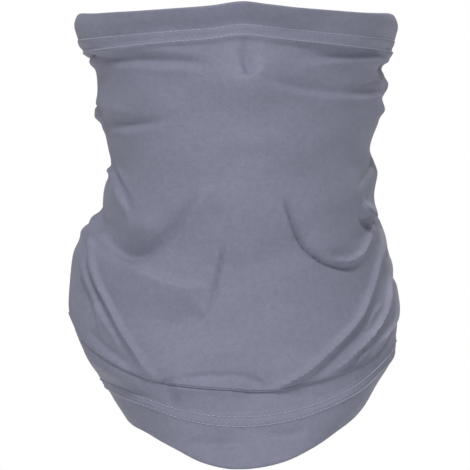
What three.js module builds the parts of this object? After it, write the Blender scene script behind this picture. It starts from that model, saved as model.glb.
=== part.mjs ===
// A knitted neck gaiter in its worn shape: a stretch cloth tube that runs from the bridge of the nose,
// over mouth and chin and down the neck, with a twin-needle hem at each end and a seam at the centre back.
// Millimetres, +Z up, the face looks along -Y, +X is the wearer's left. The origin lies on the neck's axis.
import * as THREE from 'three';
import { ParametricGeometry } from 'three/addons/geometries/ParametricGeometry.js';

// ---- Driving dimensions ----------------------------------------------------------------------------
const FRONT_RIM = 122.5; // height of the face edge at the nose
const SIDE_RIM = 115; // the same edge over the cheekbones
const BACK_RIM = 110; // the same edge at the back of the head
const FRONT_EDGE = -122.5; // height of the lower edge on the breastbone
const SIDE_EDGE = -81.5; // the same edge on the shoulders
const BACK_EDGE = -81.5; // the same edge at the nape
const FRONT_REACH = 96; // from the neck's axis to the cloth, forwards, at the blouse fold
const HALF_WIDTH = 86; // from the neck's axis to the cloth, sideways, at the widest ring
const BACK_REACH = 92; // from the neck's axis to the cloth, backwards, at the face edge
const NOSE_RISE = 17; // how far the nose tip lifts the cloth off the line of the cheeks
const NOSE_WIDTH = 25; // half width of that lift
const NOSE_HEIGHT = 34; // half height of that lift

const PLY = 1.1; // thickness of one ply of the knit
const TOP_HEM_DEPTH = 18.5; // from the face edge to the turned-in raw edge
const BOTTOM_HEM_DEPTH = 27.5; // from the lower edge to the turned-in raw edge
const NEEDLE_GAUGE = 5; // distance between the two needle rows of a hem
const ROW_INSET = 1.2; // from the raw edge to the nearer needle row
const NEEDLE_THREAD = 0.5; // width and height of a needle thread
const LOOPER_THICKNESS = 0.5; // height of the looper threads inside a hem
const SEAM_ALLOWANCE = 6; // width of the joined cloth edges inside the back
const OVERLOCK_WIDTH = 1.2; // width of the thread that wraps those edges
const CLEARANCE = 0.3; // gap between pieces that lie against each other

// ---- Fineness of the facets ------------------------------------------------------------------------
const AROUND = 48; // steps around every ring
const TUBE_STEPS = 22; // steps down the tube between the hems
const HEM_STEPS = 7; // steps down each face of a hem
const FOLD_STEPS = 4; // steps around a hem's rolled edge
const THREAD_STEP = 1.7; // widest facet across a thread
const NORMAL_STEP = 1e-3; // share of the form that is stepped each way to find its slope

const KNIT = { color: 0x7d7f91, roughness: 0.95, metalness: 0 };
const THREAD = { color: 0x747688, roughness: 0.8, metalness: 0 };

// ---- The worn form ---------------------------------------------------------------------------------
// Rings from the face edge down. run is the share of the way from one hem's raw edge to the other's;
// front, side and back are shares of the three reaches.
const TUBE_RINGS = [
	{ run: 0.0, front: 0.92, side: 0.955, back: 0.98 }, // raw edge of the top hem
	{ run: 0.11, front: 0.93, side: 0.885, back: 0.96 }, // nose tip
	{ run: 0.31, front: 0.94, side: 0.82, back: 0.89 }, // mouth
	{ run: 0.45, front: 0.965, side: 0.825, back: 0.8 }, // chin
	{ run: 0.62, front: 0.87, side: 0.925, back: 0.74 }, // throat
	{ run: 0.79, front: 0.95, side: 0.99, back: 0.76 }, // collar
	{ run: 0.9, front: 1.0, side: 1.0, back: 0.8 }, // lip of the blouse fold
	{ run: 0.93, front: 0.945, side: 0.955, back: 0.81 }, // under the fold
	{ run: 1.0, front: 0.95, side: 0.945, back: 0.83 }, // raw edge of the bottom hem
];
const RIM_RING = { front: 0.915, side: 0.95, back: 1.0 };
const EDGE_RING = { front: 0.985, side: 0.845, back: 0.86 };
const SPANS = TUBE_RINGS.length + 1; // between one ring and the next, the two edges included
const HEM_SPAN = 1 / SPANS; // a hem's share of the form
const TOP_RAW = HEM_SPAN; // where the top hem's raw edge lies on the form, 0 at the face edge
const BOTTOM_RAW = 1 - HEM_SPAN; // where the bottom hem's raw edge lies, 1 at the lower edge

// One line down the form: the face edge, the tube's rings, the lower edge.
function lineDown(direction, share, reach, rim, edge) {
	const top = rim - TOP_HEM_DEPTH;
	const bottom = edge + BOTTOM_HEM_DEPTH;
	const at = (ring, height) => direction.clone().multiplyScalar(ring[share] * reach).setZ(height);
	const tube = TUBE_RINGS.map((ring) => at(ring, THREE.MathUtils.lerp(top, bottom, ring.run)));
	return new THREE.CatmullRomCurve3([at(RIM_RING, rim), ...tube, at(EDGE_RING, edge)], false, 'centripetal');
}

const frontLine = lineDown(new THREE.Vector3(0, -1, 0), 'front', FRONT_REACH, FRONT_RIM, FRONT_EDGE);
const sideLine = lineDown(new THREE.Vector3(1, 0, 0), 'side', HALF_WIDTH, SIDE_RIM, SIDE_EDGE);
const backLine = lineDown(new THREE.Vector3(0, 1, 0), 'back', BACK_REACH, BACK_RIM, BACK_EDGE);

// The nose lifts the cloth most at the tube's second ring, and less and less away from it.
const noseTip = frontLine.points[2].z;

function noseLift(x, z) {
	return NOSE_RISE * Math.exp(-((x / NOSE_WIDTH) ** 2) - ((z - noseTip) / NOSE_HEIGHT) ** 2);
}

// The cloth's outer face. around runs 0..1 from the nose over the wearer's left side; down runs 0..1.
function form(around, down) {
	const angle = 2 * Math.PI * around;
	const forwards = Math.cos(angle);
	const side = sideLine.getPoint(down);
	const middle = (forwards > 0 ? frontLine : backLine).getPoint(down);
	const blend = forwards * forwards;
	const point = new THREE.Vector3(
		side.x * Math.sin(angle),
		middle.y * Math.abs(forwards),
		THREE.MathUtils.lerp(side.z, middle.z, blend),
	);
	if (forwards > 0) point.y -= forwards * noseLift(point.x, point.z);
	return point;
}

// A point of the form, lifted along the outward normal.
function lifted(around, down, lift) {
	const above = form(around, Math.max(0, down - NORMAL_STEP));
	const below = form(around, Math.min(1, down + NORMAL_STEP));
	const sideways = form(around + NORMAL_STEP, down).sub(form(around - NORMAL_STEP, down));
	const normal = below.sub(above).cross(sideways).normalize();
	return form(around, down).addScaledVector(normal, lift);
}

// ---- Pieces that run all the way round -------------------------------------------------------------
// section is a closed loop of { down, lift } corners, run from the outer face over the top to the inner.
function ring(section) {
	const place = (around, corner, target) => {
		const { down, lift } = section[Math.round(corner * section.length) % section.length];
		target.copy(lifted(around % 1, down, lift));
	};
	return new ParametricGeometry(place, AROUND, section.length);
}

// Where the tube panel starts and ends: a clearance short of the two hems, also at the back, where the
// rings lie closest together.
function tubeRange() {
	const height = (span) => backLine.points[span].distanceTo(backLine.points[span + 1]);
	const slack = (span) => (CLEARANCE / height(span)) * HEM_SPAN;
	return { start: TOP_RAW + slack(1), end: BOTTOM_RAW - slack(SPANS - 2) };
}

function tubePanel() {
	const { start, end } = tubeRange();
	const step = (end - start) / TUBE_STEPS;
	const downs = Array.from({ length: TUBE_STEPS + 1 }, (_, i) => start + i * step);
	const outer = downs.map((down) => ({ down, lift: 0 })).reverse();
	const inner = downs.map((down) => ({ down, lift: -PLY }));
	return ring([...outer, ...inner]);
}

// Two plies with a rolled edge. place turns a distance from the edge into a place on the form.
function hemBand(depth, place) {
	const step = (depth - PLY) / HEM_STEPS;
	const faces = Array.from({ length: HEM_STEPS }, (_, i) => depth - i * step);
	const roll = Array.from({ length: FOLD_STEPS + 1 }, (_, i) => (i / FOLD_STEPS) * Math.PI);
	const outer = faces.map((far) => ({ down: place(far), lift: 0 }));
	const edge = roll.map((turn) => ({
		down: place(PLY * (1 - Math.sin(turn))),
		lift: PLY * (Math.cos(turn) - 1),
	}));
	const inner = faces.map((far) => ({ down: place(far), lift: -2 * PLY })).reverse();
	return [...outer, ...edge, ...inner];
}

const fromTop = (distance) => (distance / TOP_HEM_DEPTH) * HEM_SPAN;
const fromBottom = (distance) => 1 - (distance / BOTTOM_HEM_DEPTH) * HEM_SPAN;

// A flat thread around a hem, centred on a needle row, on the outer or the inner face. A wide one bends
// with the cloth under it.
function threadRing(place, centre, width, height, lift) {
	const steps = Math.ceil(width / THREAD_STEP);
	const across = Array.from({ length: steps + 1 }, (_, i) => place(centre + width * (i / steps - 0.5)));
	across.sort((a, b) => b - a);
	const outer = across.map((down) => ({ down, lift: lift + height }));
	const inner = across.map((down) => ({ down, lift })).reverse();
	return ring([...outer, ...inner]);
}

// ---- Pieces down the centre back -------------------------------------------------------------------
// A bent block that follows the cloth beside the centre back, from x = left to x = right, as high as
// the tube panel, with its outer face at the given lift.
function backStrip(left, right, thickness, lift) {
	const block = new THREE.BoxGeometry(1, 1, 1, 1, TUBE_STEPS, 1);
	const corners = block.attributes.position;
	const { start, end } = tubeRange();
	for (let i = 0; i < corners.count; i++) {
		const down = THREE.MathUtils.lerp(end, start, corners.getY(i) + 0.5);
		const x = THREE.MathUtils.lerp(right, left, corners.getX(i) + 0.5);
		const around = 0.5 - Math.asin(x / sideLine.getPoint(down).x) / (2 * Math.PI);
		const point = lifted(around, down, lift + (corners.getZ(i) - 0.5) * thickness);
		corners.setXYZ(i, point.x, point.y, point.z);
	}
	return block;
}

// ---- The assembly ----------------------------------------------------------------------------------
const gaiter = new THREE.Group();
gaiter.name = 'neck_gaiter';

function add(parent, name, geometry, look) {
	const mesh = new THREE.Mesh(geometry, new THREE.MeshStandardMaterial(look));
	mesh.name = name;
	parent.add(mesh);
}

// The three thread rings of a twin-needle cover stitch: two needle rows outside, the loopers inside.
function addCoverStitch(parent, hem, depth, place, rowNames) {
	const nearRaw = depth - ROW_INSET;
	const rows = [nearRaw - NEEDLE_GAUGE, nearRaw];
	rows.forEach((centre, i) => {
		const needle = threadRing(place, centre, NEEDLE_THREAD, NEEDLE_THREAD, CLEARANCE);
		add(parent, `${hem}_needle_thread_${rowNames[i]}`, needle, THREAD);
	});
	const inside = -2 * PLY - CLEARANCE - LOOPER_THICKNESS;
	const looper = threadRing(place, nearRaw - NEEDLE_GAUGE / 2, NEEDLE_GAUGE, LOOPER_THICKNESS, inside);
	add(parent, `${hem}_looper_thread`, looper, THREAD);
}

const faceEdge = new THREE.Group();
add(faceEdge, 'top_hem', ring(hemBand(TOP_HEM_DEPTH, fromTop)), KNIT);
addCoverStitch(faceEdge, 'top_hem', TOP_HEM_DEPTH, fromTop, ['upper', 'lower']);

const neckTube = new THREE.Group();
add(neckTube, 'tube_panel', tubePanel(), KNIT);
add(neckTube, 'bottom_hem', ring(hemBand(BOTTOM_HEM_DEPTH, fromBottom).reverse()), KNIT);
addCoverStitch(neckTube, 'bottom_hem', BOTTOM_HEM_DEPTH, fromBottom, ['lower', 'upper']);

const seamLift = -PLY - 2 * CLEARANCE;
add(neckTube, 'back_seam_allowance', backStrip(0, SEAM_ALLOWANCE, 2 * PLY, seamLift), KNIT);
const overlockLeft = SEAM_ALLOWANCE + CLEARANCE;
const overlock = backStrip(overlockLeft, overlockLeft + OVERLOCK_WIDTH, 2 * PLY, seamLift);
add(neckTube, 'back_seam_overlock_thread', overlock, THREAD);

gaiter.add(faceEdge, neckTube);

export default gaiter;
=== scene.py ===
"""A knitted neck gaiter in its worn shape, without a wearer: jersey tube, two twin-needle hems, their
stitches, and the seam at the centre back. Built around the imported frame: metres, with sizes in mm."""
import math

import bpy
import numpy as np
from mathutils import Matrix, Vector


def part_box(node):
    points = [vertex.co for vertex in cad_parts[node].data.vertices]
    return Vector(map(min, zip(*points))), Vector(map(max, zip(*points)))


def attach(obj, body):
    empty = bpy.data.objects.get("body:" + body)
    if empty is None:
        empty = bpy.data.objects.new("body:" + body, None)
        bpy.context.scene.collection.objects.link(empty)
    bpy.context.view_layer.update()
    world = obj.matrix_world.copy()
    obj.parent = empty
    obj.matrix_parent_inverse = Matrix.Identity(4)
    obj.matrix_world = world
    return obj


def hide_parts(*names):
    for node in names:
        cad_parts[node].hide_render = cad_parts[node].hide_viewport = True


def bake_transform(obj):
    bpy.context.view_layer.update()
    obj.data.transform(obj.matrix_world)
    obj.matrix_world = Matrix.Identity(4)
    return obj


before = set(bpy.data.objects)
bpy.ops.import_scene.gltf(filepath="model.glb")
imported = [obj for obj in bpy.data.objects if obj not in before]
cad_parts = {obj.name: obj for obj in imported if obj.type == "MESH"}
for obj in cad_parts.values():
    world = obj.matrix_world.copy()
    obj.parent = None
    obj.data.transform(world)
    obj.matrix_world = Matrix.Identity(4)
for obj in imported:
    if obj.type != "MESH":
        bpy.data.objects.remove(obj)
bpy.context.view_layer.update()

# ---- Sizes, in millimetres unless a name says otherwise --------------------------------------------
MM = 0.001
PLY = 1.0  # thickness of one ply of the jersey
SLIT = 0.15  # air between the two plies of a hem
NEEDLE_GAUGE = 5.0  # distance between the two needle rows of a hem
ROW_INSET = 1.2  # from a hem's raw edge to the nearer needle row
STITCH_COUNT = 196  # around each needle row
STITCH_LENGTH = 2.2
THREAD = 0.42  # thickness of the sewing thread
LOOP_RADIUS = THREAD * 0.42  # of the loopers and the overlock, drawn tighter than the topstitching
SEAM_WIDTH = 6.0  # width of the seam allowance inside the back
SEAM_GAP = 0.12  # air between the tube and the allowance
CUT_AROUND = 0.51  # metres of cloth around the tube, as cut
UNROLL = 84.0  # radius that turns an azimuth into a distance over the cloth
STITCH_PITCH = 2 * math.pi * UNROLL / STITCH_COUNT

FINE_STEP = 0.75  # degrees between columns of the mesh, over the face
COARSE_STEP = 1.9  # the same over the back
BODY_ROWS = 148
LIP_ROWS = 14
BAND_ROWS = 12


def extent(node, axis, end):
    """One end (0 low, 1 high) of a CAD node's box along an axis, in millimetres."""
    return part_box(node)[end][axis] / MM


HALF_WIDTH = extent("tube_panel", 0, 1)
FACE_EDGE = extent("top_hem", 2, 1)
LOWER_EDGE = extent("bottom_hem", 2, 0)
BACK_REACH = extent("top_hem", 1, 1)


# ---- Smooth lines through a few points ---------------------------------------------------------------
def smooth_line(points, around=False):
    """A function through (x, y) points that never overshoots them; around repeats it every 360."""
    xs, ys = np.array(sorted(points), float).T
    if around:
        xs = np.concatenate([xs - 360, xs, xs + 360])
        ys = np.tile(ys, 3)
    rise = np.diff(ys) / np.diff(xs)
    before, after = rise[:-1], rise[1:]
    slope = np.concatenate([rise[:1], (before + after) / 2, rise[-1:]])
    limit = 3 * np.minimum(abs(before), abs(after))
    inner = np.clip(slope[1:-1], -limit, limit)
    slope[1:-1] = np.where(before * after > 0, inner, 0)

    def at(x):
        x = np.clip(x, xs[0], xs[-1])
        i = np.clip(np.searchsorted(xs, x, side="right") - 1, 0, len(xs) - 2)
        width = xs[i + 1] - xs[i]
        t = (x - xs[i]) / width
        start = ys[i] * (1 + 2 * t) * (1 - t) ** 2 + slope[i] * width * t * (1 - t) ** 2
        end = ys[i + 1] * t * t * (3 - 2 * t) + slope[i + 1] * width * t * t * (t - 1)
        return start + end

    return at


def smoothstep(t):
    t = np.clip(t, 0, 1)
    return t * t * (3 - 2 * t)


# ---- The worn form -----------------------------------------------------------------------------------
# Heights around the gaiter, by azimuth: 0 is the nose, 90 the viewer's right, 180 the back.
RIM_HEIGHT = smooth_line(
    [(-150, -12), (-110, -9.4), (-85, -7), (-50, -5.6), (-22, -3.4), (-9, -2.1), (3, 0), (12, -1.3),
     (24, -3.1), (50, -5.4), (85, -7), (110, -9.4), (150, -12), (180, -12.5)],
    around=True)
TOP_HEM_DEPTH = smooth_line(
    [(-85, 20), (-20, 18.6), (3, 18.8), (22, 18.6), (85, 20.2), (180, 19)], around=True)
LIP_HEIGHT = smooth_line(
    [(-140, -38), (-90, -41), (-80, -44.5), (-74, -50), (-62.5, -58), (-49, -66.5), (-39.4, -71.8),
     (-26.6, -76.8), (-12, -80.4), (2, -81.8), (13.3, -81.4), (23.7, -78.6), (35, -74.6),
     (45.4, -69.8), (56, -64.4), (66.7, -55.6), (78, -46), (90, -38), (140, -36), (180, -37)],
    around=True)
BAND_END = smooth_line(
    [(-140, -58), (-90, -74), (-70, -77.5), (-55, -81), (-40, -85.5), (-24, -91), (-10, -94),
     (2, -94.6), (15, -93), (26, -89.5), (38, -84), (48, -78.5), (58, -72), (70, -63), (90, -55),
     (140, -54), (180, -54)],
    around=True)
EDGE_HEIGHT = smooth_line(
    [(-140, -84), (-90, -97), (-70, -100.5), (-52, -105.5), (-36, -111.5), (-18, -119), (0, -122.5),
     (22, -118.5), (36, -111.5), (52, -102), (70, -91.5), (90, -84), (140, -81), (180, -81)],
    around=True)

# Half widths by height: the outlines of the worn gaiter on the viewer's left and right.
LEFT_OUTLINE = [
    (116, 78.6), (113.5, 81), (110, 82.6), (105.5, 82.8), (100, 81.6), (96.4, 78.4), (93, 76.6),
    (90, 75.6), (87, 73), (75, 72), (66, 73.2), (62.6, 73.4), (59.7, 70.4), (54.5, 68.6), (44, 66),
    (38.8, 65), (33.5, 66.4), (23, 68.7), (12.6, 70.4), (7.3, 74.8), (2, 79.2), (-3, 81.7),
    (-8.4, 84.2), (-13.6, 85.2), (-34.6, 86.4), (-45, 85.2), (-55.5, 81.8), (-66, 76), (-76.5, 68.8),
    (-82, 65.6), (-87, 63), (-92, 59.6), (-97.5, 55.5), (-104, 50),
]
RIGHT_OUTLINE = [
    (116, 79.6), (113.5, 82), (110, 83.8), (104.3, 84.2), (96.4, 81.2), (91.2, 80.4), (87, 77.4),
    (84.5, 77.8), (79.6, 80.2), (75.5, 78.2), (72, 77.2), (66, 78.4), (59.7, 75.4), (49.3, 71.4),
    (45, 70.6), (38.8, 72.8), (32.5, 74.6), (23, 73), (15.2, 72.8), (7.3, 75.5), (-3, 79.1),
    (-11, 80.4), (-18.9, 82.8), (-29.3, 84.4), (-45, 84.9), (-60.8, 82.6), (-66, 80.6), (-76.5, 74.8),
    (-87, 68), (-97.5, 60),
]
WIDEST = 85.0  # the half width in these outlines that lands on the CAD tube's widest place
FRONT_SQUARENESS = 0.9  # of the front's curve in plan; lower is squarer
BREAST_SQUARENESS = 0.32  # taken off it at the breast
BACK_SQUARENESS = 0.95
# Forward and backward reach of the cloth by height, without nose, lips and folds.
FRONT_REACH = smooth_line(
    [(122, 91.5), (104, 88), (84, 88.5), (60, 88.5), (44, 89.5), (28, 90.5), (14, 91.5), (0, 91), (-20, 90),
     (-45, 91.5), (-65, 93), (-83, 94.4), (-90, 97.4), (-110, 103.6), (-123, 110)])
BACK_SHARE = smooth_line(
    [(110, 1.0), (92, 0.98), (75, 0.955), (50, 0.89), (28, 0.81), (5, 0.745), (-20, 0.75), (-38, 0.79),
     (-54, 0.83), (-70, 0.845), (-82, 0.86)])

# Soft relief of the cloth over nose, lips, chin and cheeks: x, height, half width, half height, rise.
FACE_BUMPS = [
    (3.5, 122, 24, 24, 4.5),  # bridge of the nose
    (5.5, 84, 20, 17, 7.5),  # tip of the nose
    (6.0, 78, 11, 9, 1.6),  # the tip itself
    (7, 58, 28, 30, 5.0),  # the cloth spans from nose to chin
    (7, 46, 22, 6, 0.8),  # lips, faint through the cloth
    (7, 37, 20, 6, 0.8),
    (4, 14, 26, 15, 2.0),  # chin
    (-48, 70, 20, 20, 1.2),  # cheeks
    (50, 66, 20, 20, 1.2),
]


def half_width(outline):
    """The outline as it is, and the same without its small bumps, as functions of height."""
    exact = smooth_line([(z, x * HALF_WIDTH / WIDEST) for z, x in outline])
    heights = np.arange(-140.0, 141.0)
    kernel = np.exp(-((np.arange(-30.0, 31.0) / 9) ** 2))
    padded = exact(np.arange(-170.0, 171.0))
    calm = np.convolve(padded, kernel / kernel.sum(), mode="valid")
    return exact, lambda z: np.interp(z, heights, calm)


LEFT = half_width(LEFT_OUTLINE)
RIGHT = half_width(RIGHT_OUTLINE)
# How far the folds lift the cloth where it forms the outline, by height: set once the folds are known.
LIFTED_HEIGHTS = np.arange(-130.0, 128.0)
LIFTED = {-90: 0 * LIFTED_HEIGHTS, 90: 0 * LIFTED_HEIGHTS}


def form(azimuth, heights, left_height, right_height):
    """Points of the cloth's outer face, before its folds. Every argument is an array of one shape;
    the two heights say where the same row crosses the outline on either side."""
    turn = np.radians(azimuth)
    across, ahead = np.sin(turn), np.cos(turn)
    sides = []
    both = ((LEFT, LIFTED[-90], left_height), (RIGHT, LIFTED[90], right_height))
    for (exact, calm), lifted, row in both:
        folds = np.interp(row, LIFTED_HEIGHTS, lifted)
        sides.append(calm(row) + (exact(row) - calm(row) - folds) * abs(across) ** 6)
    x = np.where(across < 0, sides[0], sides[1]) * across
    front_squareness = FRONT_SQUARENESS - BREAST_SQUARENESS * smoothstep((-25 - heights) / 60)
    squareness = np.where(ahead > 0, front_squareness, BACK_SQUARENESS)
    reach = np.where(ahead > 0, -FRONT_REACH(heights), BACK_SHARE(heights) * BACK_REACH)
    y = reach * abs(ahead) ** squareness
    front = smoothstep(ahead * 3)
    for bump_x, bump_z, wide, high, rise in FACE_BUMPS:
        y = y - front * rise * np.exp(-(((x - bump_x) / wide) ** 2) - ((heights - bump_z) / high) ** 2)
    return np.stack([x, y, heights], axis=-1)


# ---- Where rows lie ----------------------------------------------------------------------------------
TOP_DEPTH = 18.0  # nominal depth of the top hem, at the nose
BOTTOM_DEPTH = 28.0  # nominal depth of the bottom hem, at the breast
# How far each band stands off, by the distance from its edge: the stitched part leans to face upwards.
top_slant = smooth_line(
    [(0, 2.0), (5, 0.8), (10.4, -0.9), (11.4, -0.95), (12.6, -0.4), (15.5, -0.1), (16.9, 0.75),
     (17.5, 0.85), (18, 0.6)])
bottom_slant = smooth_line(
    [(0, 0.2), (12, -0.1), (20, 0.15), (21.4, 0.5), (23, 0.55), (26.4, 0.1), (27.4, 0.0), (28, -0.1)])


def top_hem_height(azimuth, row):
    """row is the distance from the face edge, 0 to TOP_DEPTH at the raw edge."""
    return FACE_EDGE + RIM_HEIGHT(azimuth) - row / TOP_DEPTH * TOP_HEM_DEPTH(azimuth)


def bottom_hem_height(azimuth, row):
    """row is the distance from the lower edge, 0 to BOTTOM_DEPTH at the raw edge."""
    edge = LOWER_EDGE - EDGE_HEIGHT(0.0) + EDGE_HEIGHT(azimuth)
    return edge + row / BOTTOM_DEPTH * (BAND_END(azimuth) - edge)


# The blouse fold in section: how far out, as a share of its depth, and how far down from its line.
LIP_SECTION = [
    (1.0, -1.6), (1.0, -0.5), (0.97, 0.3), (0.86, 0.9), (0.7, 1.1), (0.52, 0.9), (0.34, 0.5),
    (0.18, 0.2), (0.07, 0.4), (0.02, 1.2), (0.0, 2.2),
]
lip_out = smooth_line([(i, out) for i, (out, down) in enumerate(LIP_SECTION)])
lip_down = smooth_line([(i, down) for i, (out, down) in enumerate(LIP_SECTION)])
LIP_END = len(LIP_SECTION) - 1
LIP_TOP = -LIP_SECTION[0][1]  # how far above its line the fold begins
HEM_STEP = 1.6  # length of the step from a hem's two plies down to the tube's one
flat_down = smooth_line([(0, LIP_SECTION[0][1]), (LIP_END, LIP_SECTION[-1][1])])


def lip_depth(azimuth):
    right_side = np.exp(-(((azimuth - 74) / 15) ** 2))
    return 0.15 + 0.75 * smoothstep((np.cos(np.radians(azimuth)) + 0.7) / 1.1) + 1.2 * right_side


def tube_height(azimuth, row):
    """row 0..1 runs from the top hem to the blouse fold, 1..2 round the fold, 2..3 down the band."""
    top = top_hem_height(azimuth, TOP_DEPTH)
    lip = LIP_HEIGHT(azimuth)
    body = top + np.clip(row, 0, 1) * (lip + LIP_TOP - top)
    folded = smoothstep((np.cos(np.radians(azimuth)) + 0.75) / 0.8)
    step = (row - 1) * LIP_END
    around_lip = lip - folded * lip_down(step) - (1 - folded) * flat_down(step)
    band = lip - LIP_SECTION[-1][1] + np.clip(row - 2, 0, 1) * (BAND_END(azimuth) - lip + LIP_SECTION[-1][1])
    return np.where(row <= 1, body, np.where(row <= 2, around_lip, band))


# ---- Folds -------------------------------------------------------------------------------------------
ALL_ROWS = np.linspace(0, 3, 601)
RELIEF = 1.6  # of every fold, over its listed height


def seen_from_front(points):
    """Places (x, height) as the front view shows them, as (azimuth, height)."""
    places = []
    for x, z in points:
        exact, calm = LEFT if x < 0 else RIGHT
        azimuth = math.degrees(math.asin(x / 90))  # a first guess, which the loop settles
        for _ in range(25):
            heights = tube_height(np.full(ALL_ROWS.shape, azimuth), ALL_ROWS)
            row = np.interp(-z, -heights, ALL_ROWS)
            side = tube_height(math.copysign(90.0, x), row)
            across = abs(math.sin(math.radians(azimuth)))
            reach = float(calm(side) + (exact(side) - calm(side)) * across ** 6)
            share = x * HALF_WIDTH / WIDEST / reach
            azimuth += 0.6 * (math.degrees(math.asin(max(-0.997, min(0.997, share)))) - azimuth)
        places.append((azimuth, z))
    return places


def fold(points, height, below, above, tip=0.8, fade=(0.4, 0.4)):
    """A ridge, or a crease where height is negative, along places (azimuth, height). below and above are
    how far it reaches on either side: for a fold listed downwards they mean left and right. tip is the
    roundness of its crest, and fade the shares of its length over which it begins and ends."""
    return dict(points=points, height=height, below=below, above=above, tip=tip, fade=fade)


def front_fold(points, *sizes, before=(), after=(), **more):
    """A fold given as the front view shows it; before and after carry it on past the outline, by azimuth."""
    return fold([*before, *seen_from_front(points), *after], *sizes, **more)


def curve_through(points, count=64):
    """Evenly spread samples of a smooth curve through the points, in distances over the cloth."""
    knots = np.array([(math.radians(a) * UNROLL, z) for a, z in points])
    steps = np.concatenate([[0], np.cumsum(np.linalg.norm(np.diff(knots, axis=0), axis=1))])
    at = np.linspace(0, steps[-1], count)
    path = np.stack([smooth_line(list(zip(steps, knots[:, k])))(at) for k in (0, 1)], axis=-1)
    for _ in range(12):
        path[1:-1] = (path[:-2] + 2 * path[1:-1] + path[2:]) / 4
    return path


def fold_height(shape, where):
    """How far one fold lifts the cloth at the places where, an array of (distance around, height)."""
    path = curve_through(shape["points"])
    reach = 5 * max(shape["below"], shape["above"]) + shape["tip"]
    low, high = path.min(0) - reach, path.max(0) + reach
    lift = np.zeros(len(where))
    near = np.all((where > low) & (where < high), axis=1)
    if not near.any():
        return lift
    start, leg = path[:-1], np.diff(path, axis=0)
    long = (leg ** 2).sum(1)
    spot = where[near][:, None, :] - start[None]
    along = np.clip((spot * leg).sum(2) / long, 0, 1)
    away = spot - along[..., None] * leg
    distance = np.linalg.norm(away, axis=2)
    closest = distance.argmin(1)
    rows = np.arange(len(closest))
    gap = distance[rows, closest]
    side = leg[closest, 0] * spot[rows, closest, 1] - leg[closest, 1] * spot[rows, closest, 0]
    share = (closest + along[rows, closest]) / len(leg)
    width = np.where(side > 0, shape["above"], shape["below"])
    crest = (np.sqrt(gap ** 2 + shape["tip"] ** 2) - shape["tip"]) / width
    begin, end = (max(f, 1e-3) for f in shape["fade"])
    strength = smoothstep(share / begin) * smoothstep((1 - share) / end)
    lift[near] = RELIEF * shape["height"] * strength * np.exp(-crest ** 1.3)
    return lift


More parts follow.
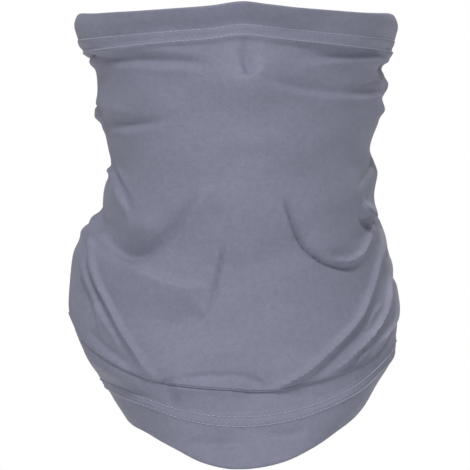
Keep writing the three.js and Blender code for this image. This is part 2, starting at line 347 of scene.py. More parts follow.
FOLDS = [
    # under the face edge, viewer's left: a long level crease
    front_fold([(-79, 92.2), (-61, 91.4), (-42, 91), (-26, 90.4), (-11, 89.6)], -1.4, 2.0, 2.2,
        fade=(0.25, 0.12), before=[(-100, 92)]),
    front_fold([(-76, 88.4), (-53, 88), (-36, 87), (-14, 86.4)], 0.8, 3.0, 1.6, tip=0.6,
        fade=(0.1, 0.15)),
    front_fold([(-70, 96), (-56, 97), (-38, 96.4), (-16, 95)], 0.5, 1.2, 1.2, fade=(0.3, 0.4)),
    # under the face edge, viewer's right
    front_fold([(10, 101.5), (34, 99), (58, 97), (80, 94.8)], -0.8, 5.0, 1.6, fade=(0.25, 0.1)),
    front_fold([(22, 91.6), (36, 93), (52, 94.4), (66, 95.4), (80, 96)], -1.2, 1.8, 2.2,
        fade=(0.4, 0.05)),
    front_fold([(26, 88.2), (36, 88.9), (52, 90), (66, 91.2), (78, 92.2)], 1.0, 3.0, 1.0, tip=0.4,
        fade=(0.4, 0.05)),
    front_fold([(9, 85), (20, 81), (33.3, 77.2), (44.3, 75.4), (55.4, 74.6), (66.5, 74.7),
        (77.5, 76.6)], -1.2, 1.6, 5.0, tip=0.5, fade=(0.2, 0.05), after=[(92, 78)]),
    front_fold([(9, 81), (18, 77.6), (27, 74.6), (40, 72.4), (54.5, 71.4), (67, 71.4), (76, 73.2)],
        1.1, 4.2, 1.0, tip=0.4, fade=(0.2, 0.1)),
    front_fold([(60, 76), (69, 78.4), (79, 83)], -0.9, 1.2, 2.6, tip=0.5, fade=(0.4, 0.1)),
    front_fold([(64, 84), (78, 87)], -0.9, 3.0, 3.0, tip=1.5, fade=(0.6, 0.05)),
    # cheek, viewer's left
    front_fold([(-74, 62.4), (-66, 59), (-55, 56.8), (-44, 58.2), (-33, 60.8), (-24, 62.6)], -1.7, 1.7,
        3.2, fade=(0.1, 0.4), before=[(-90, 65)]),
    front_fold([(-70, 56.6), (-55, 53.4), (-44, 55), (-30, 58.4)], 0.7, 3.4, 1.2, tip=0.4,
        fade=(0.12, 0.4)),
    front_fold([(-64, 65.6), (-52, 62.8)], 0.4, 1.4, 1.8),
    # the dent beside the bridge of the nose
    front_fold([(2.4, 105), (4.4, 96), (7, 89), (9.4, 83.6)], -2.4, 2.4, 3.6, tip=1.4,
        fade=(0.7, 0.12)),
    # jaw, viewer's left
    front_fold([(-65, 36.5), (-62.6, 28), (-58.7, 19.7), (-54.5, 11), (-50, 4)], 2.2, 5.0, 0.9,
        tip=0.5, fade=(0.12, 0.4)),
    front_fold([(-63, 37), (-55.4, 24), (-49, 13)], 0.6, 1.0, 1.8, tip=0.5, fade=(0.3, 0.5)),
    front_fold([(-58, 8), (-47, 4.6), (-37, 7)], 1.5, 4.0, 6.5, tip=3),
    front_fold([(-74, -3), (-70, -5.6), (-65, -8.4), (-56, -11), (-47.5, -10), (-38.5, -3.4),
        (-31, 4.6), (-24.5, 13.5), (-18, 24.5)], -2.6, 2.6, 4.6, tip=1.6, fade=(0.16, 0.25)),
    front_fold([(-33, 2), (-24, 11), (-15, 21), (-7, 29)], 1.2, 4.0, 1.4, tip=1.0, fade=(0.3, 0.35)),
    front_fold([(-22, 2), (-13, 9), (-4, 16)], -0.5, 4.0, 3.2, tip=1.2),
    # the drape from the jaw to the breast, viewer's left
    front_fold([(-72, 0), (-64, -10.4), (-55, -16.6), (-46.6, -20.8), (-37.2, -24.8), (-27.8, -27.8),
        (-12, -28.6)], 2.2, 12.0, 1.7, tip=0.7, fade=(0.05, 0.12)),
    front_fold([(-5.6, 0), (-6.6, -12), (-9, -24), (-10.8, -34), (-14.6, -42.4), (-24, -50)], -0.9,
        1.3, 0.7, tip=0.4, fade=(0.2, 0.35)),
    front_fold([(-9, -6), (-11, -20), (-13, -32)], 0.5, 3.0, 1.2, tip=0.6, fade=(0.3, 0.3)),
    front_fold([(-46, -49), (-30, -46), (-17, -38)], -1.2, 5.0, 7.0, tip=3, fade=(0.4, 0.25)),
    # the slanting folds, viewer's left
    front_fold([(-74, -2), (-73.2, -12), (-70.2, -24.4), (-64, -38.2), (-56.7, -52.8), (-51.4, -61.2),
        (-46.2, -69.6), (-39.4, -77)], 2.0, 2.6, 1.0, tip=0.35, fade=(0.25, 0.06), before=[(-112, 24),
        (-92, 12)]),
    front_fold([(-75.4, -14), (-73.6, -26), (-68.4, -39), (-61.4, -52.6), (-55.6, -62), (-50, -69)],
        -0.5, 1.8, 1.6, tip=0.8, fade=(0.2, 0.15)),
    front_fold([(-77.6, -4), (-77.4, -12.5), (-76, -23.2), (-71.4, -35), (-66.2, -47.4), (-61, -57)],
        1.8, 2.2, 0.9, tip=0.4, fade=(0.25, 0.25)),
    front_fold([(-79.4, -12), (-79, -24), (-75.4, -37), (-71, -48)], -0.4, 1.8, 1.6, tip=0.8,
        fade=(0.2, 0.3)),
    front_fold([(-71, -34), (-70.4, -43), (-69, -53)], 1.0, 1.6, 1.2, tip=0.5, fade=(0.35, 0.35)),
    front_fold([(-65.4, -45), (-62.4, -54), (-58.4, -61)], 0.8, 1.2, 1.0, tip=0.4, fade=(0.35, 0.35)),
    front_fold([(-78, -48), (-70, -57), (-60, -65), (-50, -71.5)], -1.0, 1.4, 2.6, fade=(0.3, 0.3)),
    # the pocket, viewer's right
    front_fold([(24.6, 23.5), (27.4, 15.2), (30, 6.3), (33, -1.6), (38.4, -9.2), (44, -13.8),
        (50.8, -16.6), (58.7, -17.8), (66.5, -15), (71.5, -10.5)], -1.9, 1.0, 1.3, tip=0.45,
        fade=(0.22, 0.5)),
    front_fold([(26.5, 22), (31, 8), (36, -3), (43, -10)], -1.0, 2.0, 5.5, tip=1.0, fade=(0.3, 0.3)),
    front_fold([(46, -13.4), (52, -14.6), (59.7, -14.2), (66, -10.4), (70, -3.5), (72.6, 5)], 1.6, 1.0,
        1.5, tip=0.5, fade=(0.25, 0.25)),
    front_fold([(46, -8.6), (53, -11.4), (61, -10.8), (66.6, -6.4)], -0.6, 1.4, 2.4, tip=0.8,
        fade=(0.3, 0.3)),
    front_fold([(36, -2), (46, -5), (57, -3)], 0.8, 3.0, 7.5, tip=2.2, fade=(0.35, 0.35)),
    # the small flap at the outline, viewer's right
    front_fold([(75, 39), (68, 31), (61.5, 22)], -1.6, 2.4, 2.4, tip=1, fade=(0.1, 0.5)),
    front_fold([(67, 21), (66.6, 14.4), (68.6, 11.4), (72, 10.4)], 2.6, 1.1, 4.4, tip=0.5,
        fade=(0.25, 0.2), after=[(88, 12)]),
    front_fold([(64.8, 15), (65.2, 9), (68.4, 5.6), (72.6, 5.4)], -1.8, 1.4, 2.0, tip=0.6,
        fade=(0.3, 0.1), after=[(88, 7)]),
    front_fold([(75.4, 9), (73.4, 2), (72.6, -6)], 0.9, 1.4, 1.2, tip=0.6, fade=(0.2, 0.4)),
    # the slanting folds, viewer's right
    front_fold([(78.2, -6), (74, -20.7), (69.8, -34.5), (63.8, -45.6), (55.8, -54.7), (46.8, -63.6),
        (36.9, -72.5), (26.9, -79), (17, -82.6)], 1.9, 1.7, 1.1, tip=0.4, fade=(0.22, 0.08),
        before=[(116, 20), (98, 8)]),
    front_fold([(78.6, -20), (73.6, -36), (66.6, -48.6), (58, -58), (48.6, -67), (38, -75.6)], -0.3,
        1.2, 2.0, tip=0.7, fade=(0.2, 0.15)),
    front_fold([(82.6, -20), (80, -34.5), (77, -44.6), (70.2, -53.8), (62.2, -61.9), (54.6, -69.6),
        (44, -75.5)], 1.7, 1.3, 0.8, tip=0.35, fade=(0.25, 0.15), before=[(118, 4), (100, -7)]),
    front_fold([(77.8, -36), (71, -45.4), (69, -53)], 0.5, 1.0, 0.7, tip=0.5, fade=(0.3, 0.35)),
    front_fold([(70, -60.6), (62, -67.6)], 0.7, 1.2, 0.8, tip=0.5, fade=(0.35, 0.35)),
    front_fold([(84.8, -34), (83.2, -44.4), (77.4, -54.6), (69, -62.8)], 1.3, 1.2, 0.8, tip=0.35,
        fade=(0.3, 0.25), before=[(124, -12), (104, -22)]),
    # the upper drape ends in an arc, and a lighter shelf shows under it
    front_fold([(-39, -78), (-25.7, -75.4), (-13, -74.2), (0, -74), (8.6, -75.6), (15, -79),
        (17.4, -82)], -0.7, 1.3, 0.9, tip=0.5, fade=(0.06, 0.06)),
    front_fold([(-36, -80.4), (-18, -82.4), (0, -83.4), (10, -83.4)], 3.2, 5.0, 6.0, tip=0.8,
        fade=(0.2, 0.3)),
    # lower hem, front
    front_fold([(-34, -108.6), (-8, -109.6), (18, -108.6)], -0.9, 1.8, 2.4, tip=1),
    front_fold([(10, -103.6), (26, -105), (44, -102.6)], -0.9, 1.8, 2.2, tip=1),
    # the level creases run on around the sides and fade at the back
    fold([(-70, 93), (-95, 92), (-130, 88)], -1.5, 3.0, 1.6, fade=(0.2, 0.6)),
    fold([(-68, 65), (-90, 68), (-120, 74), (-150, 76)], -1.7, 2.6, 3.0, fade=(0.15, 0.5)),
    fold([(-72, 55), (-100, 57), (-128, 64)], 1.3, 4.0, 2.6, fade=(0.3, 0.5)),
    fold([(70, 88), (95, 87), (130, 84)], -1.8, 2.6, 3.0, fade=(0.15, 0.5)),
    fold([(66, 72), (92, 76), (125, 80), (150, 80)], 1.6, 2.2, 3.6, fade=(0.1, 0.5)),
    fold([(72, 60), (98, 62), (135, 68)], -1.3, 3.6, 3.0, fade=(0.3, 0.5)),
    # the jaw folds climb to the nape
    fold([(-74, 8), (-95, 16), (-125, 30), (-155, 36)], -2.0, 3.0, 4.2, fade=(0.25, 0.4)),
    fold([(-72, -4), (-98, 2), (-130, 14), (-165, 18)], 2.0, 4.6, 3.0, fade=(0.2, 0.4)),
    fold([(76, 14), (98, 20), (125, 32), (158, 38)], -1.9, 3.0, 4.4, fade=(0.25, 0.4)),
    fold([(72, -12), (96, -4), (128, 8), (165, 14)], 2.0, 4.6, 2.8, fade=(0.2, 0.4)),
    fold([(96, -30), (112, -18), (138, -8), (172, -4)], -1.8, 3.2, 3.8),
    fold([(-94, -30), (-110, -19), (-138, -10), (-174, -8)], -1.7, 3.2, 3.8),
    # slack at the nape
    fold([(112, 50), (140, 46), (168, 49), (178, 50)], 1.5, 3.0, 1.8, fade=(0.4, 0.3)),
    fold([(-170, 56), (-146, 51), (-118, 54)], 1.4, 3.0, 1.6),
    fold([(126, -26), (150, -33), (175, -31)], 1.6, 3.4, 1.8),
    fold([(-176, -22), (-152, -30), (-122, -27)], 1.7, 3.4, 1.8, fade=(0.3, 0.4)),
    fold([(118, -44), (142, -48), (166, -45)], -1.1, 2.2, 3.4),
    fold([(-168, -42), (-140, -46), (-112, -41)], -1.2, 2.2, 3.4),
    fold([(104, 30), (132, 20), (160, 24)], -1.4, 1.8, 4.0),
    fold([(-160, 8), (-134, 2), (-106, -8)], 1.4, 3.2, 1.6),
]


# ---- Lift of the cloth off the form ------------------------------------------------------------------
def ripples(around, heights):
    """Slight, mostly level waves that every worn jersey has. They close up all the way round."""
    draw = np.random.default_rng(7)
    lift = np.zeros(around.shape)
    for _ in range(26):
        turns = draw.integers(1, 13)
        length = draw.uniform(13, 42)
        phase = draw.uniform(0, 2 * math.pi)
        slant = draw.choice([-1, 1])
        swell = draw.uniform(0.03, 0.12) * length / 30
        lift += swell * np.sin(slant * turns * around / UNROLL + 2 * math.pi * heights / length + phase)
    return lift


def seam_lift(around):
    """The centre back seam draws a furrow, and its allowance pads one side of it."""
    turn = math.pi * UNROLL
    away = np.where(around > 0, turn - around, -turn - around)
    furrow = -0.75 * np.exp(-((away / 0.9) ** 2))
    shoulders = 0.22 * np.exp(-(((abs(away) - 2.2) / 1.4) ** 2))
    allowance = 0.35 * smoothstep((away + 0.5) / 1.5) * smoothstep((SEAM_WIDTH + 1.5 - away) / 2.5)
    return furrow + shoulders + allowance * (away > -2)


def cloth_lift(azimuth, heights):
    around = np.radians(azimuth) * UNROLL
    where = np.stack([around.ravel(), heights.ravel()], axis=-1)
    lift = sum(fold_height(shape, where) for shape in FOLDS).reshape(around.shape)
    return lift + ripples(around, heights) + seam_lift(around)


def outward(azimuth, heights, left, right):
    """Unit normals of the form, by stepping a little around and a little up."""
    turn, rise = 0.4, 0.6
    around = form(azimuth + turn, heights, left, right) - form(azimuth - turn, heights, left, right)
    above = form(azimuth, heights + rise, left + rise, right + rise)
    below = form(azimuth, heights - rise, left - rise, right - rise)
    normal = np.cross(around, above - below)
    return normal / np.linalg.norm(normal, axis=-1, keepdims=True)


def outline_lift(side, outline):
    """How far past its nominal outline the folded cloth stands on one side, by height."""
    around, heights = np.meshgrid(math.copysign(1, side) * np.linspace(68, 106, 39), LIFTED_HEIGHTS)
    normal = outward(around, heights, heights, heights)
    place = form(around, heights, heights, heights) + normal * cloth_lift(around, heights)[..., None]
    past = abs(place[..., 0]).max(axis=1) - outline[0](LIFTED_HEIGHTS)
    return np.convolve(np.pad(past, 3, mode="edge"), np.array([1, 2, 3, 4, 3, 2, 1]) / 16, mode="valid")


LIFTED = {-90: outline_lift(-90, LEFT), 90: outline_lift(90, RIGHT)}


def skin(height_at, azimuth, row, lift=0.0):
    """Points and normals of the cloth's outer face, where row counts down and azimuth around. lift is
    added to that of the folds. Every argument but height_at is an array of one shape, or a number."""
    azimuth, row, lift = np.broadcast_arrays(np.asarray(azimuth, float), row, lift)
    heights = height_at(azimuth, row)
    left = height_at(np.full(azimuth.shape, -90.0), row)
    right = height_at(np.full(azimuth.shape, 90.0), row)
    normal = outward(azimuth, heights, left, right)
    rise = lift + cloth_lift(azimuth, heights)
    return form(azimuth, heights, left, right) + normal * rise[..., None], normal


def tube_lift(azimuth, row):
    """The fold's overhang, and the step down from two plies to one beside each hem."""
    above = tube_height(azimuth, row) - LIP_HEIGHT(azimuth) - LIP_TOP
    swelling = np.exp(-((np.clip(above, 0, None) / 13) ** 1.5))
    out = np.where(row <= 1, swelling, lip_out(np.clip((row - 1) * LIP_END, 0, LIP_END)))
    from_top = top_hem_height(azimuth, TOP_DEPTH) - tube_height(azimuth, row)
    from_bottom = tube_height(azimuth, row) - BAND_END(azimuth)
    beside_top = (PLY / 2 + top_slant(TOP_DEPTH)) * (1 - smoothstep(from_top / HEM_STEP))
    near_bottom = np.where(row > 2, 1 - smoothstep(from_bottom / HEM_STEP), 0)
    beside_bottom = (PLY / 2 + bottom_slant(BOTTOM_DEPTH)) * near_bottom
    return lip_depth(azimuth) * out - PLY / 2 + beside_top + beside_bottom


# ---- Meshes ------------------------------------------------------------------------------------------
def column_azimuths(refine=1):
    """Azimuths from -180 up to 180, closer together over the face and at the back seam."""
    steps, at = [], -180.0
    while at < 180:
        away = abs(at)
        coarse = smoothstep((away - 96) / 20) * smoothstep((176 - away) / 10)
        steps.append(FINE_STEP + (COARSE_STEP - FINE_STEP) * float(coarse))
        at += steps[-1]
    if len(steps) % 2:
        steps.append(steps[-1])
    steps = np.repeat(np.array(steps) / refine, refine)
    edges = np.cumsum(steps)
    return -180 + 360 * np.concatenate([[0], edges[:-1]]) / edges[-1]


def new_piece(name, points, faces, material, uvs=None):
    """A mesh object from points in millimetres."""
    mesh = bpy.data.meshes.new(name)
    mesh.from_pydata((np.asarray(points) * MM).tolist(), [], faces)
    mesh.polygons.foreach_set("use_smooth", [True] * len(mesh.polygons))
    mesh.set_sharp_from_angle(angle=math.radians(55))
    if uvs is not None:
        layer = mesh.uv_layers.new(name="knit")
        layer.data.foreach_set("uv", np.asarray(uvs, np.float32).ravel())
    mesh.materials.append(material)
    mesh.update()
    piece = bpy.data.objects.new(name, mesh)
    bpy.context.scene.collection.objects.link(piece)
    return piece


def grid_faces(rows, columns, first=0, flip=False, wrap_rows=False):
    """Quads of a grid whose columns close up, and the (row, column) of each corner for its uv."""
    r, c = np.meshgrid(np.arange(rows if wrap_rows else rows - 1), np.arange(columns), indexing="ij")
    corners = [(0, 0), (0, 1), (1, 1), (1, 0)]
    if flip:
        corners.reverse()
    quads = [first + ((r + i) % rows) * columns + (c + j) % columns for i, j in corners]
    places = [np.stack([r + i, c + j], -1) for i, j in corners]
    return np.stack(quads, -1).reshape(-1, 4), np.stack(places, -2).reshape(-1, 2)


def knit_uv(places, azimuths, lengths):
    """Uv in metres of cloth: around the tube, and down it."""
    around = (np.append(azimuths, 180.0) + 180) / 360 * CUT_AROUND
    down = np.append(lengths, lengths[-1])
    return np.stack([around[places[:, 1]], down[places[:, 0]] * MM], -1)


def row_lengths(points):
    """Distance down the cloth to each row, along its front."""
    front = points[:, points.shape[1] // 2]
    return np.concatenate([[0], np.cumsum(np.linalg.norm(np.diff(front, axis=0), axis=1))])


def make_tube(material):
    """The single-ply tube: a fine outer face and an inner face at half its fineness, joined at the ends."""
    azimuths = column_azimuths()
    rows = np.concatenate([
        np.linspace(0, 1, BODY_ROWS, endpoint=False),
        np.linspace(1, 2, LIP_ROWS, endpoint=False),
        np.linspace(2, 3, BAND_ROWS + 1),
    ])
    around, down = np.meshgrid(azimuths, rows)
    outer, _ = skin(tube_height, around, down, tube_lift(around, down))
    normals = grid_normals(outer)
    inner = (outer - normals * PLY)[::2, ::2]
    n, m = len(azimuths), len(azimuths) // 2
    faces, places = grid_faces(len(rows), n, flip=True)
    inner_first = outer.shape[0] * n
    inner_faces, inner_places = grid_faces(inner.shape[0], m, inner_first)
    lengths = row_lengths(outer)
    uvs = [knit_uv(places, azimuths, lengths), knit_uv(inner_places, azimuths[::2], lengths[::2])]
    faces = faces.tolist() + inner_faces.tolist()
    for outer_row, inner_row, turned in ((0, 0, False), (len(rows) - 1, inner.shape[0] - 1, True)):
        for k in range(m):
            a, b, c = (outer_row * n + (2 * k + i) % n for i in range(3))
            d, e = (inner_first + inner_row * m + (k + i) % m for i in range(2))
            rim = [(a, b, d), (b, e, d), (b, c, e)]
            for face in rim:
                faces.append(face[::-1] if turned else face)
                uvs.append(np.zeros((3, 2)) + [0, lengths[outer_row] * MM])
    points = np.concatenate([outer.reshape(-1, 3), inner.reshape(-1, 3)])
    return new_piece("jersey_tube", points, faces, material, np.concatenate(uvs))


def grid_normals(points):
    """Outward unit normals of a grid of points that closes up around."""
    around = np.roll(points, -1, axis=1) - np.roll(points, 1, axis=1)
    down = np.gradient(points, axis=0)
    normal = np.cross(down, around)
    normal[1:-1] = (normal[:-2] + 2 * normal[1:-1] + normal[2:]) / 4
    return normal / np.maximum(np.linalg.norm(normal, axis=-1, keepdims=True), 1e-9)


def hem_section(depth):
    """The closed section of a turned-in hem as (distance from the edge, lift) of its corners."""
    turn = PLY + SLIT / 2
    outer = [(d, 0.0) for d in np.linspace(depth, turn, 26, endpoint=False)]
    roll = [(turn - turn * math.sin(t), turn * (math.cos(t) - 1)) for t in np.linspace(0, math.pi, 9)]
    inner = [(d, -2 * turn) for d in np.linspace(turn, depth - 0.4, 13)[1:]]
    raw = [(depth - 0.1, -2 * turn + 0.3), (depth - 0.1, -turn - SLIT / 2 - 0.3)]
    back_up = [(d, -turn - SLIT / 2) for d in np.linspace(depth - 0.4, turn, 8)]
    back_down = [(d, -turn + SLIT / 2) for d in np.linspace(turn, depth, 9)]
    return np.array(outer + roll + inner + raw + back_up + back_down)


def stitch_relief(distance, depth, slant, around):
    """Furrows under the two needle rows, the pillow between them, and the pull of every stitch."""
    far = depth - ROW_INSET
    rows = (far - NEEDLE_GAUGE, far)
    relief = slant(distance)
    for k, row in enumerate(rows):
        pull = 0.75 + 0.25 * np.cos(2 * math.pi * around / STITCH_PITCH + k * 1.7)
        relief -= 0.09 * pull * np.exp(-(((distance - row) / 0.45) ** 2))
    middle = (rows[0] + rows[1]) / 2
    wave = 1 + 0.25 * np.sin(2 * math.pi * around / (STITCH_PITCH * 2.0)) * np.sin(around / 3.1)
    relief += 0.10 * wave * np.exp(-(((distance - middle) / 2.3) ** 4))
    return relief


def make_hem(name, height_at, slant, depth, material, upwards):
    """A double band with a rolled edge. upwards says that its edge is its upper end."""
    azimuths = column_azimuths(refine=2)
    section = hem_section(depth)
    around, corner = np.meshgrid(azimuths, np.arange(len(section)))
    distance, lift = section[corner, 0], section[corner, 1]
    outside = np.exp(-((lift / 0.4) ** 2))
    stitched = stitch_relief(distance, depth, slant, np.radians(around) * UNROLL)
    relief = slant(distance) + (stitched - slant(distance)) * outside
    points, _ = skin(height_at, around, distance, lift + relief)
    faces, places = grid_faces(len(section), len(azimuths), flip=not upwards, wrap_rows=True)
    uvs = knit_uv(places, azimuths, np.append(section[:, 0], section[0, 0]))
    return new_piece(name, points.reshape(-1, 3), faces.tolist(), material, uvs)


# ---- Thread ------------------------------------------------------------------------------------------
def swept(paths, radius, sides=6):
    """Points and faces of round threads along several polylines of equal length, capped at both ends."""
    paths = np.asarray(paths, float)
    tangent = np.gradient(paths, axis=1)
    tangent /= np.linalg.norm(tangent, axis=-1, keepdims=True)
    side = np.cross(tangent, [0.31, 0.17, 0.93])
    side /= np.linalg.norm(side, axis=-1, keepdims=True)
    up = np.cross(side, tangent)
    turn = np.linspace(0, 2 * math.pi, sides, endpoint=False)
    radii = np.broadcast_to(radius, paths.shape[1])[None, :, None, None]
    spokes = side[:, :, None] * np.cos(turn)[:, None] + up[:, :, None] * np.sin(turn)[:, None]
    points = (paths[:, :, None] + radii * spokes).reshape(-1, 3)
    count, steps = paths.shape[:2]
    faces = []
    for first in range(0, count * steps * sides, steps * sides):
        for k in range(steps - 1):
            for j in range(sides):
                a, b = first + k * sides + j, first + k * sides + (j + 1) % sides
                faces.append((a, a + sides, b + sides, b))
        last = first + (steps - 1) * sides
        faces.append([first + j for j in range(sides)])
        faces.append([last + j for j in reversed(range(sides))])
    return points, faces


def even_azimuths(height_at, row, pitch):
    """Azimuths that part a row of the cloth into equal lengths of about the pitch."""
    fine = np.linspace(-180, 180, 1441)
    points, _ = skin(height_at, fine, row)
    along = np.concatenate([[0], np.cumsum(np.linalg.norm(np.diff(points, axis=0), axis=1))])
    count = round(along[-1] / pitch)
    return np.interp((np.arange(count) + 0.5) / count * along[-1], along, fine)


def make_needle_row(name, height_at, slant, row, depth, material):
    """One row of a hem's topstitching: separate stitches, each sunk into the cloth at both ends."""
    centres = even_azimuths(height_at, row, STITCH_PITCH)
    along = np.linspace(-1, 1, 7)
    half = np.degrees(STITCH_LENGTH / 2 / UNROLL)
    azimuth = centres[:, None] + along * half
    skew = 0.10 * along * np.sign(row - depth / 2)
    distance = row + skew + 0.05 * np.sin(centres * 1.3)[:, None]
    relief = stitch_relief(np.full(azimuth.shape, row), depth, slant, np.radians(azimuth) * UNROLL)
    rise = 0.26 * (1 - along ** 2) - 0.06 * along ** 4
    points, _ = skin(height_at, azimuth, distance, relief + rise + 0.10)
    radius = THREAD / 2 * (1 - 0.55 * along ** 4)
    return new_piece(name, *swept(points, radius), material)


def make_looper(name, height_at, slant, depth, material):
    """The looper threads on a hem's inner face: a zigzag between the rows, and a chain along each."""
    far = depth - ROW_INSET
    centres = even_azimuths(height_at, far, STITCH_PITCH)
    inside = -2 * PLY - SLIT - THREAD * 0.45
    count = len(centres)
    step = np.arange(count * 4 + 1) / 4
    azimuth = np.interp(step, np.arange(count + 1), np.append(centres, centres[0] + 360))
    azimuth = (azimuth + 180) % 360 - 180
    strands = []
    for phase in (0.0, 0.5):
        swing = 2 * abs((step + phase) % 1 - 0.5)
        strands.append((far - NEEDLE_GAUGE * swing, inside - 0.16 * np.sin(math.pi * (step + phase)) ** 2))
    for row in (far, far - NEEDLE_GAUGE):
        strands.append((row + 0.32 * np.sin(2 * math.pi * step), inside - 0.12 + 0 * step))
    paths = [skin(height_at, azimuth, distance, lift + slant(distance))[0] for distance, lift in strands]
    return new_piece(name, *swept(paths, LOOP_RADIUS, 5), material)


# ---- The seam inside the centre back -----------------------------------------------------------------
SEAM_ROWS = np.linspace(0.006, 2.985, 170)
BACK_ROUNDING = 0.82  # the nape's radius as a share of the reach at the face edge


def back_place(away, row, lift):
    """Points inside the back: away is the distance from the seam towards the viewer's right."""
    azimuth = 180 - np.degrees(np.asarray(away, float) / (BACK_REACH * BACK_ROUNDING))
    return skin(tube_height, azimuth, row, lift)[0]


def make_allowance(material):
    """The two cloth edges of the seam, laid to one side inside the back."""
    inside = -PLY - SEAM_GAP
    thick = 2 * PLY + SLIT
    loop = [
        (0.1, inside), (SEAM_WIDTH - 0.5, inside), (SEAM_WIDTH, inside - 0.4),
        (SEAM_WIDTH, inside - thick + 0.4), (SEAM_WIDTH - 0.5, inside - thick),
        (0.6, inside - thick), (0.1, inside - thick + 0.5),
    ]
    rows = SEAM_ROWS
    wave = 0.25 * np.sin(np.arange(len(rows)) * 0.9) + 0.15 * np.sin(np.arange(len(rows)) * 2.3 + 1)
    away = np.array([a for a, _ in loop])[None] + wave[:, None] * (np.array([a for a, _ in loop]) > 3)[None]
    lift = np.array([b for _, b in loop])[None] + tube_lift(np.full(len(rows), 180.0), rows)[:, None]
    row = np.broadcast_to(rows[:, None], away.shape)
    points = back_place(away, row, lift)
    faces, _ = grid_faces(len(rows), len(loop))
    faces = faces.tolist()
    last = (len(rows) - 1) * len(loop)
    faces.append(list(reversed(range(len(loop)))))
    faces.append([last + j for j in range(len(loop))])
    return new_piece("back_seam_allowance_cloth", points.reshape(-1, 3), faces, material)


def make_overlock(material):
    """The overlock thread: one long coil around the allowance's edge, and its needle line."""
    length = np.linalg.norm(np.diff(back_place(0 * SEAM_ROWS, SEAM_ROWS, 0.0), axis=0), axis=1).sum()
    turns = round(length / 2.4)
    share = np.linspace(0, 1, turns * 14 + 1)
    angle = 2 * math.pi * share * turns
    row = np.interp(share, np.linspace(0, 1, len(SEAM_ROWS)), SEAM_ROWS)
    thick = PLY + SLIT / 2
    middle = -PLY - SEAM_GAP - thick
    reach = 2.3
    squarish = np.sign(np.cos(angle)) * abs(np.cos(angle)) ** 0.7
    away = SEAM_WIDTH - reach + 0.25 + reach * squarish
    tube_face = tube_lift(np.full(len(row), 180.0), row)
    lift = middle + (thick + THREAD * 0.45) * np.sin(angle) + tube_face
    coil = back_place(away, row, lift)
    needle_away = SEAM_WIDTH - 2 * reach + 0.5 + 0.12 * np.sin(angle)
    needle_lift = middle - thick - THREAD * 0.4 + 0.10 * np.cos(angle) + tube_face
    needle = back_place(needle_away, row, needle_lift)
    return new_piece("back_seam_overlock_coil", *swept([coil, needle], LOOP_RADIUS, 5), material)


# ---- Materials ---------------------------------------------------------------------------------------
KNIT_COLOUR = (0.193, 0.198, 0.272, 1)
THREAD_COLOUR = (0.38, 0.39, 0.49, 1)


class Nodes:
    """Short hand for a material's node tree."""

    def __init__(self, name):
        self.material = bpy.data.materials.new(name)
        self.material.use_nodes = True
        self.tree = self.material.node_tree
        self.shader = self.tree.nodes["Principled BSDF"]

    def add(self, kind, **settings):
        node = self.tree.nodes.new(kind)
        for key, value in settings.items():
            setattr(node, key, value)
        return node

    def link(self, a, b):
        self.tree.links.new(a, b)

    def math(self, operation, a, b=None, c=None):
        node = self.add("ShaderNodeMath", operation=operation)
        for socket, value in zip(node.inputs, (a, b, c)):
            if value is None:
                continue
            if isinstance(value, (int, float)):
                socket.default_value = value
            else:
                self.link(value, socket)
        return node.outputs[0]

    def noise(self, vector, scale, detail=2.0, roughness=0.5):
        node = self.add("ShaderNodeTexNoise")
        node.inputs["Scale"].default_value = scale
        node.inputs["Detail"].default_value = detail
        node.inputs["Roughness"].default_value = roughness
        self.link(vector, node.inputs["Vector"])
        return node.outputs["Fac"]

    def range(self, value, low, high):
        node = self.add("ShaderNodeMapRange")
        node.inputs["From Min"].default_value = 0.25
        node.inputs["From Max"].default_value = 0.75
        node.inputs["To Min"].default_value = low
        node.inputs["To Max"].default_value = high
        self.link(value, node.inputs["Value"])
        return node.outputs["Result"]

    def tinted(self, colour, factor):
        node = self.add("ShaderNodeVectorMath", operation="SCALE")
        node.inputs[0].default_value = colour[:3]
        self.link(factor, node.inputs["Scale"])
        return node.outputs[0]

    def bump(self, height, distance, strength=1.0, under=None):
        node = self.add("ShaderNodeBump")
        node.inputs["Strength"].default_value = strength
        node.inputs["Distance"].default_value = distance
        self.link(height, node.inputs["Height"])
        if under is not None:
            self.link(under, node.inputs["Normal"])
        return node.outputs["Normal"]


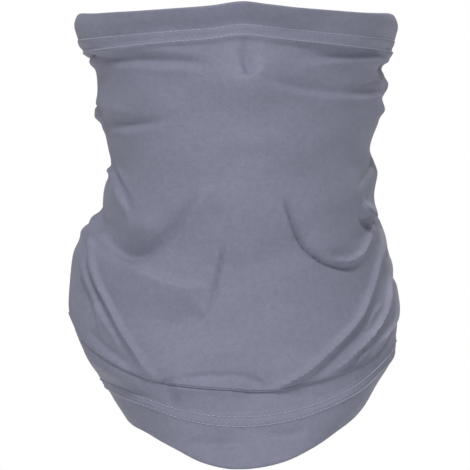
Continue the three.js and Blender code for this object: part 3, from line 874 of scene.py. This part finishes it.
def knit_material():
    """Fine single jersey: columns of small V stitches, painted shade in the low gaps between the loops, a
    soft mottle in the yarn, a slight bloom.
    """
    m = Nodes("jersey")
    uv = m.add("ShaderNodeUVMap", uv_map="knit").outputs["UV"]
    parts = m.add("ShaderNodeSeparateXYZ")
    m.link(uv, parts.inputs[0])
    wale, course = 0.00085, 0.00070
    across = m.math("FRACT", m.math("DIVIDE", parts.outputs["X"], wale))
    fromaxis = m.math("ABSOLUTE", m.math("SUBTRACT", across, 0.5))
    slanted = m.math("ADD", m.math("DIVIDE", parts.outputs["Y"], course), m.math("MULTIPLY", fromaxis, 0.9))
    legs = m.math("ABSOLUTE", m.math("SINE", m.math("MULTIPLY", slanted, math.pi)))
    columns = m.math("SINE", m.math("MULTIPLY", fromaxis, 2 * math.pi))
    loops = m.math("MULTIPLY", m.math("POWER", legs, 0.7), m.math("POWER", columns, 0.6))
    place = m.add("ShaderNodeTexCoord").outputs["Object"]
    fuzz = m.noise(place, 1500, 3.0, 0.7)
    mottle = m.noise(place, 320, 4.0, 0.62)
    cloud = m.noise(place, 34, 3.0, 0.5)
    tint = m.math("MULTIPLY", m.range(fuzz, 0.87, 1.13), m.range(mottle, 0.91, 1.09))
    tint = m.math("MULTIPLY", tint, m.range(cloud, 0.965, 1.035))
    # painted shade: the yarn's colour is darkened where the loops sink, in the gaps between stitches and
    # between columns
    tint = m.math("MULTIPLY", tint, m.math("MULTIPLY_ADD", loops, 0.14, 0.92))
    m.link(m.tinted(KNIT_COLOUR, tint), m.shader.inputs["Base Color"])
    normal = m.bump(loops, 0.00012, 0.8)
    normal = m.bump(m.math("ADD", fuzz, m.math("MULTIPLY", mottle, 1.6)), 0.00016, 0.7, under=normal)
    m.link(normal, m.shader.inputs["Normal"])
    m.shader.inputs["Roughness"].default_value = 0.52
    m.shader.inputs["Specular IOR Level"].default_value = 0.5
    m.shader.inputs["Sheen Weight"].default_value = 0.08
    m.shader.inputs["Sheen Roughness"].default_value = 0.5
    m.shader.inputs["Sheen Tint"].default_value = (0.75, 0.78, 0.9, 1)
    return m.material


def thread_material():
    """Spun sewing thread, clearly paler than the knit."""
    m = Nodes("sewing_thread")
    place = m.add("ShaderNodeTexCoord").outputs["Object"]
    twist = m.noise(place, 2600, 2.0, 0.6)
    shade = m.noise(place, 260, 2.0, 0.5)
    tint = m.math("MULTIPLY", m.range(twist, 0.88, 1.12), m.range(shade, 0.93, 1.07))
    m.link(m.tinted(THREAD_COLOUR, tint), m.shader.inputs["Base Color"])
    m.link(m.bump(twist, 0.00008, 0.8), m.shader.inputs["Normal"])
    m.shader.inputs["Roughness"].default_value = 0.62
    m.shader.inputs["Specular IOR Level"].default_value = 0.35
    m.shader.inputs["Sheen Weight"].default_value = 0.1
    return m.material


def studio_material(name, colour):
    m = Nodes(name)
    grain = m.noise(m.add("ShaderNodeTexCoord").outputs["Object"], 4, 2.0, 0.5)
    m.link(m.tinted(colour, m.range(grain, 0.995, 1.005)), m.shader.inputs["Base Color"])
    m.shader.inputs["Roughness"].default_value = 0.9
    return m.material


# ---- Studio ------------------------------------------------------------------------------------------
CAMERA_DISTANCE = 10.0  # metres in front of the neck's axis
VIEW_HEIGHT = 0.2463  # metres that the frame shows at the front of the cloth
VIEW_CENTRE = -0.0004
SENSOR = 36.0
FLOOR_HEIGHT = -0.7  # well below, because a worn gaiter is held up by the neck
FLOOR_SIZE = 6
FLOOR_GLOW = 0.1
SOFT_LIGHT = 0.46  # strength of the even light from all round
CAMERA_WHITE = 1.0  # strength of the surround that only the camera sees


def make_studio():
    scene = bpy.context.scene
    scene.view_settings.view_transform = "Standard"
    world = bpy.data.worlds.new("studio")
    scene.world = world
    world.use_nodes = True
    nodes, links = world.node_tree.nodes, world.node_tree.links
    soft, white = nodes["Background"], nodes.new("ShaderNodeBackground")
    for background, strength in ((soft, SOFT_LIGHT), (white, CAMERA_WHITE)):
        background.inputs["Color"].default_value = (1, 1, 1, 1)
        background.inputs["Strength"].default_value = strength
    seen, mix = nodes.new("ShaderNodeLightPath"), nodes.new("ShaderNodeMixShader")
    links.new(seen.outputs["Is Camera Ray"], mix.inputs[0])
    links.new(soft.outputs[0], mix.inputs[1])
    links.new(white.outputs[0], mix.inputs[2])
    links.new(mix.outputs[0], nodes["World Output"].inputs["Surface"])
    pale = studio_material("pale_floor", (0.92, 0.92, 0.92, 1))
    glow = pale.node_tree.nodes["Principled BSDF"].inputs
    glow["Emission Color"].default_value = (1, 1, 1, 1)
    glow["Emission Strength"].default_value = FLOOR_GLOW
    bpy.ops.mesh.primitive_plane_add(size=FLOOR_SIZE, location=(0, 0, FLOOR_HEIGHT))
    floor = bpy.context.object
    floor.name = "studio_floor"
    floor.data.materials.append(pale)
    area_light("key", (-0.3, -1.3, 1.75), 0.6, 31.0)
    area_light("fill", (0.7, -2.2, -0.8), 1.4, 16.0)
    area_light("back_light", (0.7, 1.5, 1.5), 0.8, 12.0)


def area_light(name, place, size, power):
    """A square lamp that faces the origin: place and size in metres, power in watts."""
    light = bpy.data.lights.new(name, "AREA")
    light.shape = "SQUARE"
    light.size = size
    light.energy = power
    lamp = bpy.data.objects.new(name, light)
    lamp.location = place
    lamp.rotation_euler = (-Vector(place)).to_track_quat("-Z", "Y").to_euler()
    bpy.context.scene.collection.objects.link(lamp)


def make_camera():
    camera = bpy.data.objects.new("camera", bpy.data.cameras.new("camera"))
    camera.location = (0, -CAMERA_DISTANCE, VIEW_CENTRE)
    camera.rotation_euler = (math.pi / 2, 0, 0)
    camera.data.sensor_width = SENSOR
    camera.data.lens = SENSOR * (CAMERA_DISTANCE - FRONT_REACH(0.0) * MM) / VIEW_HEIGHT
    camera.data.clip_end = 50
    bpy.context.scene.collection.objects.link(camera)
    bpy.context.scene.camera = camera


def gathers(piece):
    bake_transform(piece)


def make_gaiter():
    knit, thread = knit_material(), thread_material()
    tube = make_tube(knit)
    gathers(tube)
    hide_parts("tube_panel")
    hems = (
        ("top_hem", top_hem_height, top_slant, TOP_DEPTH, True, "face_edge", ("upper", "lower")),
        ("bottom_hem", bottom_hem_height, bottom_slant, BOTTOM_DEPTH, False, "neck_tube", ("lower", "upper")),
    )
    for node, height_at, slant, depth, upwards, body, names in hems:
        hem = make_hem(f"{node}_band", height_at, slant, depth, knit, upwards)
        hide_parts(node)
        far = depth - ROW_INSET
        threads = [make_looper(f"{node}_looper_zigzag", height_at, slant, depth, thread)]
        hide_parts(f"{node}_looper_thread")
        for row, which in zip((far - NEEDLE_GAUGE, far), names):
            stitches = make_needle_row(f"{node}_stitches_{which}", height_at, slant, row, depth, thread)
            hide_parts(f"{node}_needle_thread_{which}")
            threads.append(stitches)
        for piece in [hem, *threads]:
            if body == "face_edge":
                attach(piece, body)
            else:
                gathers(piece)
    allowance = make_allowance(knit)
    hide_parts("back_seam_allowance")
    overlock = make_overlock(thread)
    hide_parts("back_seam_overlock_thread")
    for piece in (allowance, overlock):
        gathers(piece)


make_camera()
make_studio()
make_gaiter()
